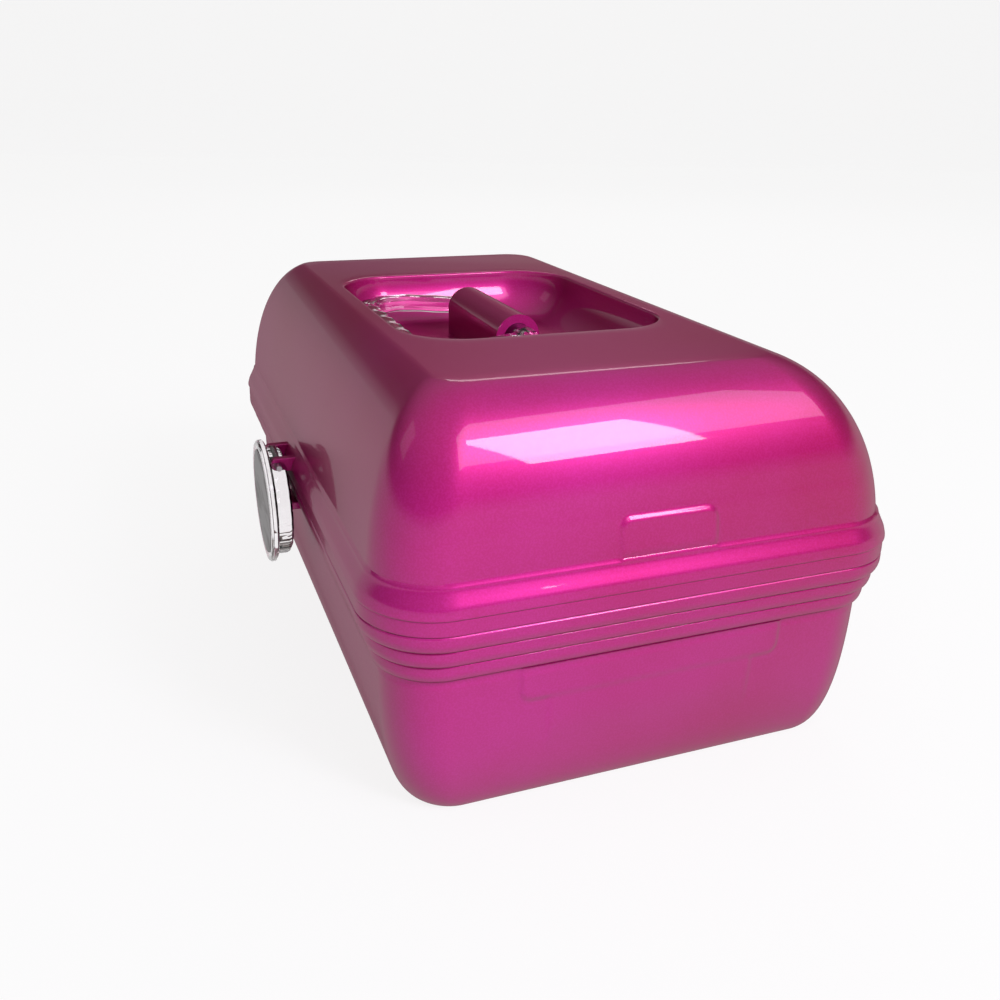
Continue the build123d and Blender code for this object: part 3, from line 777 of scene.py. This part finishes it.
def saddle_mesh(low):
    """The saddle under the rod: a block with a round trough along X, as rings of a closed outline."""
    radius, outer = ROD_RADIUS + 0.06 * MM, BARREL_RADIUS
    steps = 24
    turn = np.linspace(0, math.pi, steps + 1)
    trough = np.stack([radius * np.cos(turn), BARREL_Z - radius * np.sin(turn)], axis=1)
    outline = np.concatenate([trough, [(-outer, BARREL_Z), (-outer, low), (outer, low), (outer, BARREL_Z)]])
    rows = []
    for x, shrink in eased_ends(float(CAP_HIGH[0]), 0.5 * MM):
        ring = outline.copy()
        ring[steps + 1:, 0] -= np.sign(ring[steps + 1:, 0]) * shrink
        rows.append(np.stack([np.full(len(ring), x), BOWL_Y + ring[:, 0], ring[:, 1]], axis=1))
    points, faces = ring_mesh(np.stack(rows))
    for start in (0, len(points) - len(outline)):
        # each end wall: a half on either side of the trough, and a triangle under it
        under, left = start + steps // 2, start + steps + 1
        faces += [[*range(start, under + 1), left + 2, left + 3], [*range(under, left), left, left + 1],
                  [under, left + 1, left + 2]]
    return points, faces


def ear_mesh(middle, pin):
    """One ear of the latch's hinge: a plate from the lid's wall with a round end about the pin."""
    root = -HALF_Y + EAR_ROOT
    turn = np.linspace(-np.pi / 2, -3 * np.pi / 2, 17)
    nose = np.stack([pin[0] + EAR_RADIUS * np.cos(turn), pin[1] + EAR_RADIUS * np.sin(turn)], axis=1)
    outline = np.concatenate([nose, [(root, pin[1] + EAR_RADIUS), (root, pin[1] - EAR_RADIUS)]])
    centre = outline.mean(axis=0)
    rows = []
    for x, shrink in eased_ends(EAR_HALF, 0.35 * MM):
        ring = centre + (outline - centre) * (1 - shrink / EAR_RADIUS)
        rows.append(np.stack([np.full(len(ring), middle + x), ring[:, 0], ring[:, 1]], axis=1))
    return shell_mesh(np.stack(rows))


def boss_mesh(side, centre, box, boss):
    """A boss from a shell's end wall to the moving piece that has this box, about their pivot."""
    root, radius = boss
    face = float(box[1][0]) + BOSS_CLEAR
    start, end = sorted((side * face, side * (HALF_X - root)))
    return shell_mesh(turned(rod_profile(radius, start, end), (0, *centre), "X", 32))


class CASE_OT_handle(bpy.types.Operator):
    """Make the clear faceted handle and its rod"""

    bl_idname = "case.handle"
    bl_label = "Handle"

    def execute(self, context):
        piece = make_piece("handle_bow", [grip_mesh(), rod_mesh()], 25)
        dress_clear(context, piece)
        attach(piece, "handle")
        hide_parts("handle_loop")
        dress_pearl(context, frame["nodes"]["handle_barrel_cap"])
        return {"FINISHED"}


# the bow: where its arms leave the rod, half length and reach of the grip, its corner and its section
ARM_ROOT, GRIP_HALF, GRIP_REACH, GRIP_CORNER = 41.5 * MM, 69 * MM, 51.5 * MM, 20 * MM
GRIP_WIDTH, GRIP_THICKNESS = 10 * MM, 9 * MM


def grip_path():
    """The bow's centre line: straight arms and grip joined by arcs of the grip's corner."""
    arm_start = np.array([ARM_ROOT, BOWL_Y])
    corner = np.array([GRIP_HALF, BOWL_Y - GRIP_REACH])
    along = (corner - arm_start) / np.linalg.norm(corner - arm_start)
    inward = np.array([-1.0, 0.0])
    turn = math.acos(float(np.clip(along @ inward, -1, 1)))
    setback = GRIP_CORNER * math.tan(turn / 2)
    start = corner - along * setback
    normal = np.array([along[1], -along[0]])
    centre = start + normal * GRIP_CORNER
    spoke = start - centre
    angles = np.linspace(0, -turn, 24)
    arc = np.stack([centre[0] + spoke[0] * np.cos(angles) - spoke[1] * np.sin(angles),
                    centre[1] + spoke[0] * np.sin(angles) + spoke[1] * np.cos(angles)], axis=1)
    arm = arm_start + (start - arm_start) * np.linspace(0, 1, 14)[:-1, None]
    half = np.concatenate([arm, arc])
    mirrored = half[::-1] * np.array([-1, 1])
    middle = np.stack([np.linspace(half[-1, 0], mirrored[0, 0], 50)[1:-1], np.full(48, BOWL_Y - GRIP_REACH)], axis=1)
    return np.concatenate([half, middle, mirrored])


def grip_mesh():
    """A flattened bar with cut facets along it, swept round the bow; cross cuts wave its width."""
    path = grip_path()
    step = np.gradient(path, axis=0)
    step /= np.linalg.norm(step, axis=1)[:, None]
    side = np.stack([-step[:, 1], step[:, 0]], axis=1)
    length = np.concatenate([[0], np.cumsum(np.linalg.norm(np.diff(path, axis=0), axis=1))])
    facets = 10
    angle = (np.arange(facets) + 0.5) * 2 * np.pi / facets
    outline = np.stack([np.sign(np.cos(angle)) * np.abs(np.cos(angle)) ** 0.75 * GRIP_WIDTH / 2,
                        np.sign(np.sin(angle)) * np.abs(np.sin(angle)) ** 0.75 * GRIP_THICKNESS / 2], axis=1)
    wave = 1 - 0.06 * np.abs((length / (7 * MM)) % 2 - 1)
    taper = ramp(length, 0, 6 * MM) * ramp(length[-1] - length, 0, 6 * MM) * 0.15 + 0.85
    scale = (wave * taper)[:, None]
    flat = path[:, None, :] + side[:, None, :] * (outline[None, :, 0] * scale)[..., None]
    height = BARREL_Z + outline[None, :, 1] * scale
    return shell_mesh(np.concatenate([flat, height[..., None]], axis=2))


def rod_mesh():
    """The rod in the barrel, with eased ends that show in the barrel's mouth."""
    reach = float(ARM_ROOT + 4 * MM)
    outline = [(0.3 * MM, -reach), (ROD_RADIUS - 1.2 * MM, -reach), (ROD_RADIUS, -reach + 1.2 * MM),
               (ROD_RADIUS, reach - 1.2 * MM), (ROD_RADIUS - 1.2 * MM, reach), (0.3 * MM, reach)]
    return shell_mesh(turned(outline, (0, BOWL_Y, BARREL_Z), "X", 40))


class CASE_OT_latch(bpy.types.Operator):
    """Make the clear round latch knob and finish the disc in it"""

    bl_idname = "case.latch"
    bl_label = "Latch"

    def execute(self, context):
        knob = make_piece("latch_knob", [knob_mesh()], 30)
        dress_clear(context, knob)
        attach(knob, "latch")
        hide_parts("latch_body")
        disc = plain_plastic("latch_disc_finish", (0.05, 0.034, 0.037), shared_groups(), 0.3, 0.0, 0.12)
        dress(frame["nodes"]["latch_face"], disc)
        return {"FINISHED"}


def knob_mesh():
    """The knob as one turned skin: back, faceted body, rim and the seat of the front disc.

    The body's radius dips between facets, so the clear wall breaks up the light."""
    front = float(KNOB_LOW[1])
    radius = float(KNOB_HIGH[0])
    seat = float(FACE_HIGH[0])
    body = radius - 3.2 * MM
    back = LATCH_BACK
    profile = np.array([
        (0.4 * MM, back), (body - 2.6 * MM, back), (body - 0.6 * MM, back - 1.2 * MM), (body, back - 2.4 * MM),
        (body, front + 4.0 * MM), (radius - 0.9 * MM, front + 3.4 * MM), (radius, front + 2.6 * MM),
        (radius, front + 0.9 * MM), (radius - 0.7 * MM, front + 0.15 * MM), (seat + 1.4 * MM, front),
        (seat + 0.1 * MM, front + 0.35 * MM), (seat + 0.05 * MM, front + 1.5 * MM), (0.4 * MM, front + 1.5 * MM)])
    sides = 96
    grid = turned(profile, (0, 0, LATCH_Z), "Y", sides)
    cut = 0.03 * (1 - np.abs(np.cos(np.linspace(0, 2 * np.pi, sides, endpoint=False) * 12)))
    faceted = np.zeros(len(profile))
    faceted[1:5] = 1
    scale = 1 - faceted[:, None] * cut[None]
    grid[..., 0] *= scale
    grid[..., 2] = LATCH_Z + (grid[..., 2] - LATCH_Z) * scale
    return shell_mesh(grid)


class CASE_OT_inside(bpy.types.Operator):
    """Finish the trays, arms, links, pins, rivets, screws and mirror"""

    bl_idname = "case.inside"
    bl_label = "Inside"

    def execute(self, context):
        finishes, groups = context.scene.case_finishes, shared_groups()
        tray = plain_plastic("tray_finish", tuple(finishes.tray), groups)
        arm = plain_plastic("arm_finish", tuple(finishes.arm), groups, 0.3)
        steel = metal_material("steel_finish", tuple(finishes.steel), groups)
        for name, node in frame["nodes"].items():
            if "rivets" in name or "pin" in name or "screws" in name:
                dress(node, steel)
            elif "_arm_" in name or "link" in name:
                dress(node, arm)
            elif "tray" in name or name == "mirror_frame":
                dress(node, tray)
        dress(frame["nodes"]["mirror_glass"], mirror_material(groups))
        return {"FINISHED"}


class CASE_OT_stage(bpy.types.Operator):
    """Make the pale floor, the soft lamps and the camera at the photograph's angle"""

    bl_idname = "case.stage"
    bl_label = "Stage"

    def execute(self, context):
        scene = context.scene
        scene.view_settings.view_transform = "Standard"
        place_floor()
        place_lamps()
        place_camera(scene)
        return {"FINISHED"}


FLOOR_FRONT, FLOOR_BACK, FLOOR_SIDE = -5, 4.0, 6
BACKDROP_BEND, BACKDROP_HEIGHT = 0.2, 0.76


def place_floor():
    """A pale floor that curves up into a low backdrop behind the case."""
    across = np.linspace(-FLOOR_SIDE, FLOOR_SIDE, 13)
    turn = np.linspace(0, np.pi / 2, 10)[1:]
    bend = FLOOR_BACK - BACKDROP_BEND
    depth = np.concatenate([[FLOOR_FRONT, -1, 1, bend], bend + BACKDROP_BEND * np.sin(turn), [FLOOR_BACK]])
    height = np.concatenate([[0, 0, 0, 0], BACKDROP_BEND * (1 - np.cos(turn)), [BACKDROP_HEIGHT]])
    shape = (len(depth), len(across))
    grid = np.stack([np.broadcast_to(across[None], shape), np.broadcast_to(depth[:, None], shape),
                     np.broadcast_to(height[:, None], shape)], axis=2)
    heading = np.array(Matrix.Rotation(math.radians(CAMERA_AZIMUTH), 3, "Z"))
    index = np.arange(grid.shape[0] * grid.shape[1]).reshape(shape)
    faces = np.stack([index[:-1, :-1], index[:-1, 1:], index[1:, 1:], index[1:, :-1]], axis=2).reshape(-1, 4)
    mesh = bpy.data.meshes.new("floor")
    mesh.from_pydata((grid.reshape(-1, 3) @ heading.T).tolist(), [], faces.tolist())
    mesh.shade_smooth()
    floor = bpy.data.objects.new("floor", mesh)
    bpy.context.scene.collection.objects.link(floor)
    material, tree, shader = new_material("pale_floor")
    feed(tree, shader, {"Base Color": (0.93, 0.93, 0.93, 1), "Roughness": 0.9, "Specular IOR Level": 0.1})
    white = add_node(tree, "ShaderNodeEmission", {})["Emission"]
    share = maths(tree, "MULTIPLY", seen_directly(tree), 0.86)
    glow = add_node(tree, "ShaderNodeMixShader", {"Fac": share, 1: shader.outputs["BSDF"], 2: white})["Shader"]
    feed(tree, tree.nodes["Material Output"], {"Surface": glow})
    dress(floor, material)


def seen_directly(tree):
    """A socket that is 1 for camera, glossy and transmission rays, so the white shows in them all."""
    rays = add_node(tree, "ShaderNodeLightPath", {})
    either = maths(tree, "MAXIMUM", rays["Is Camera Ray"], rays["Is Glossy Ray"])
    return maths(tree, "MAXIMUM", either, rays["Is Transmission Ray"])


def add_lamp(name, place, aim, size, watts, colour=(1, 1, 1)):
    """A soft rectangular lamp at a place, aimed at a point."""
    lamp = bpy.data.lights.new(name, "AREA")
    lamp.shape = "RECTANGLE"
    lamp.size, lamp.size_y = size
    lamp.energy = watts
    lamp.color = colour
    holder = bpy.data.objects.new(name, lamp)
    holder.location = place
    holder.rotation_euler = (Vector(aim) - Vector(place)).to_track_quat("-Z", "Y").to_euler()
    bpy.context.scene.collection.objects.link(holder)


def place_lamps():
    """A window and a wide soft lamp beyond the near end, dim fills, and a plain room with a pale horizon."""
    near_end = Vector((HALF_X, 0, PARTING + 50 * MM))
    add_lamp("window", near_end + Vector((1.32, 0.72, 0.98)), near_end, (0.40, 0.60), 15, (0.92, 0.94, 1.0))
    add_lamp("sky", near_end + Vector((1.5, 0.9, 1.5)), near_end, (1.5, 1.1), 21, (0.90, 0.86, 1.0))
    add_lamp("front_fill", (-0.5, -2.0, 1.5), (0, 0, 0.08), (0.8, 0.8), 1.5)
    add_lamp("back_rim", (-1.8, 0.9, 1.4), (0, 0, 0.1), (0.9, 0.5), 5)
    world = bpy.data.worlds.new("room")
    bpy.context.scene.world = world
    world.use_nodes = True
    tree = world.node_tree
    place = add_node(tree, "ShaderNodeTexCoord", {})["Generated"]
    height = add_node(tree, "ShaderNodeSeparateXYZ", {"Vector": place})["Z"]
    tone = tree.nodes.new("ShaderNodeValToRGB")
    low, high = tone.color_ramp.elements
    low.position, low.color = 0.3, (0.10, 0.07, 0.062, 1)
    high.position, high.color = 0.85, (0.60, 0.58, 0.58, 1)
    wall = feed(tree, tone, {"Fac": height})["Color"]
    horizon = mapped(tree, height, 0.08, 0.2, 1.0, 0.0)
    pale = maths(tree, "MULTIPLY", horizon, seen_directly(tree))
    feed(tree, tree.nodes["Background"], {"Color": mixed(tree, pale, wall, (1, 1, 1, 1)), "Strength": 1.0})


# the camera that was fitted to the photograph: place, heading, tilt, roll and focal length in pixels
CAMERA_PLACE = (441.0 * MM, -171.7 * MM, PARTING + 168.0 * MM)
CAMERA_AZIMUTH, CAMERA_PITCH, CAMERA_ROLL = 69.03, 22.35, 1.08
CAMERA_PIXELS, PHOTO_WIDTH, SENSOR = 981.2, 1000, 36.0


def place_camera(scene):
    """The camera looks along its azimuth, tilts down, then rolls about its own axis."""
    azimuth, pitch, roll = (math.radians(a) for a in (CAMERA_AZIMUTH, CAMERA_PITCH, CAMERA_ROLL))
    level = Vector((-math.sin(azimuth), math.cos(azimuth), 0))
    up = Vector((0, 0, 1))
    right = level.cross(up)
    forward = math.cos(pitch) * level - math.sin(pitch) * up
    lift = math.sin(pitch) * level + math.cos(pitch) * up
    right, lift = (math.cos(roll) * right + math.sin(roll) * lift, math.cos(roll) * lift - math.sin(roll) * right)
    camera = bpy.data.cameras.new("photo_view")
    camera.sensor_width = SENSOR
    camera.lens = CAMERA_PIXELS / PHOTO_WIDTH * SENSOR
    camera.clip_start = 0.01
    holder = bpy.data.objects.new("photo_view", camera)
    turn = Matrix((right, lift, -forward)).transposed()
    holder.matrix_world = Matrix.Translation(CAMERA_PLACE) @ turn.to_4x4()
    scene.collection.objects.link(holder)
    scene.camera = holder


class CASE_PT_panel(bpy.types.Panel):
    """Lists the case's pieces in the sidebar"""

    bl_label = "Make-up case"
    bl_space_type = "VIEW_3D"
    bl_region_type = "UI"
    bl_category = "Case"

    def draw(self, context):
        for operator in OPERATORS:
            self.layout.operator(operator.bl_idname)
        for group in ("case_shell", "case_bowl", "case_finishes"):
            for name in getattr(context.scene, group).__annotations__:
                self.layout.prop(getattr(context.scene, group), name)


OPERATORS = (CASE_OT_lid, CASE_OT_base, CASE_OT_handle, CASE_OT_latch, CASE_OT_inside, CASE_OT_stage)
CLASSES = (ShellSizes, BowlSizes, Finishes, *OPERATORS, CASE_PT_panel)


def register():
    for entry in CLASSES:
        bpy.utils.register_class(entry)
    bpy.types.Scene.case_shell = PointerProperty(type=ShellSizes)
    bpy.types.Scene.case_bowl = PointerProperty(type=BowlSizes)
    bpy.types.Scene.case_finishes = PointerProperty(type=Finishes)


def unregister():
    for name in ("case_shell", "case_bowl", "case_finishes"):
        delattr(bpy.types.Scene, name)
    for entry in reversed(CLASSES):
        bpy.utils.unregister_class(entry)


def main():
    """Make every piece in order."""
    register()
    bpy.ops.case.stage()
    bpy.ops.case.lid()
    bpy.ops.case.base()
    bpy.ops.case.handle()
    bpy.ops.case.latch()
    bpy.ops.case.inside()


if __name__ == "__main__":
    main()
